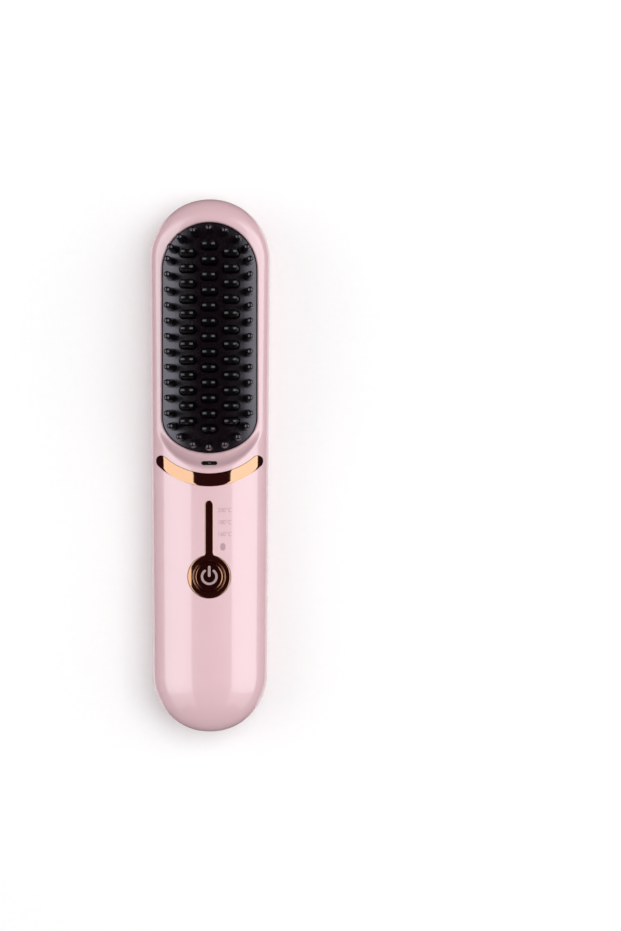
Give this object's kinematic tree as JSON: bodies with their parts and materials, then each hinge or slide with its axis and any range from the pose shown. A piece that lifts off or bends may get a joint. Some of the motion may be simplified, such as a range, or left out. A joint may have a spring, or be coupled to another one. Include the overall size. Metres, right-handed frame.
{
  "type": "cordless hair straightener",
  "caption": "Cordless hair straightening brush with a long oval body, heated comb head and one push button on the handle.",
  "frame": {"origin": "centre of the overall box at its lowest face: the brush lies on its back, and the lowest point of the back is at z = 0", "axes": "+Y towards the head's tip, +Z the way the teeth point, +X to the right when the teeth face the viewer and the head is up"},
  "size_m": [0.045, 0.1999, 0.042],
  "materials": {
    "pink_shell": "gloss moulded ABS",
    "pink_plug": "moulded silicone",
    "rose_gold": "rose gold mirror plating",
    "bronze_mirror": "tinted mirror",
    "clear_guide": "frosted polycarbonate",
    "rose_button": "plated button",
    "black_plastic": "moulded",
    "tin_steel": "tinned",
    "circuit_board": "solder mask",
    "lamp_body": "moulded resin",
    "guard_black": "satin heat-proof nylon",
    "heater_coating": "black ceramic coating",
    "ceramic": "fired ceramic",
    "insulating_film": "amber film",
    "aluminium_sheet": "rolled",
    "carrier_plastic": "glass-filled",
    "screw_steel": "zinc plated",
    "sensor_glass": "resin coated",
    "chip_black": "moulded epoxy",
    "module_plastic": "potted module",
    "cell_wrap": "heat-shrink sleeve over a metal can",
    "tray_plastic": "moulded ABS",
    "nickel": "nickel strip"
  },
  "bodies": {
    "root": {"front_shell": "pink_shell", "rear_shell": "pink_shell", "screw_plugs": "pink_plug", "crescent_trim": "rose_gold", "control_bezel": "bronze_mirror", "light_guide": "clear_guide", "tact_switch": "tin_steel", "main_board": "circuit_board", "driver_board": "circuit_board", "charge_board": "circuit_board", "indicator_leds": "lamp_body", "comb_guard": "guard_black", "heater_plate": "heater_coating", "heating_elements": "ceramic", "insulation_sheet": "insulating_film", "clamp_plate": "aluminium_sheet", "heater_carrier": "carrier_plastic", "heater_screws": "screw_steel", "temperature_sensor": "sensor_glass", "thermal_fuse": "tin_steel", "driver_parts": "chip_black", "board_screws": "screw_steel", "ion_generator": "module_plastic", "ion_needle": "screw_steel", "ion_outlet": "black_plastic", "battery_cell_left": "cell_wrap", "battery_cell_right": "cell_wrap", "battery_tray": "tray_plastic", "nickel_strips": "nickel", "usb_c_socket": "tin_steel", "usb_c_tongue": "black_plastic", "housing_screws": "screw_steel"},
    "button": {"power_button": "rose_button"},
    "plunger": {"switch_plunger": "black_plastic"}
  },
  "joints": [
    {"name": "button_press", "type": "slide", "parent": "root", "child": "button", "axis": [0, 0, -1], "range_m": [0, 0.0004], "stiffness_N_per_m": 3000},
    {"name": "plunger_press", "type": "slide", "parent": "root", "child": "plunger", "axis": [0, 0, -1], "range_m": [0, 0.0004]}
  ],
  "couplings": [
    {"joint": "plunger_press", "follows": "button_press", "ratio": 1}
  ]
}
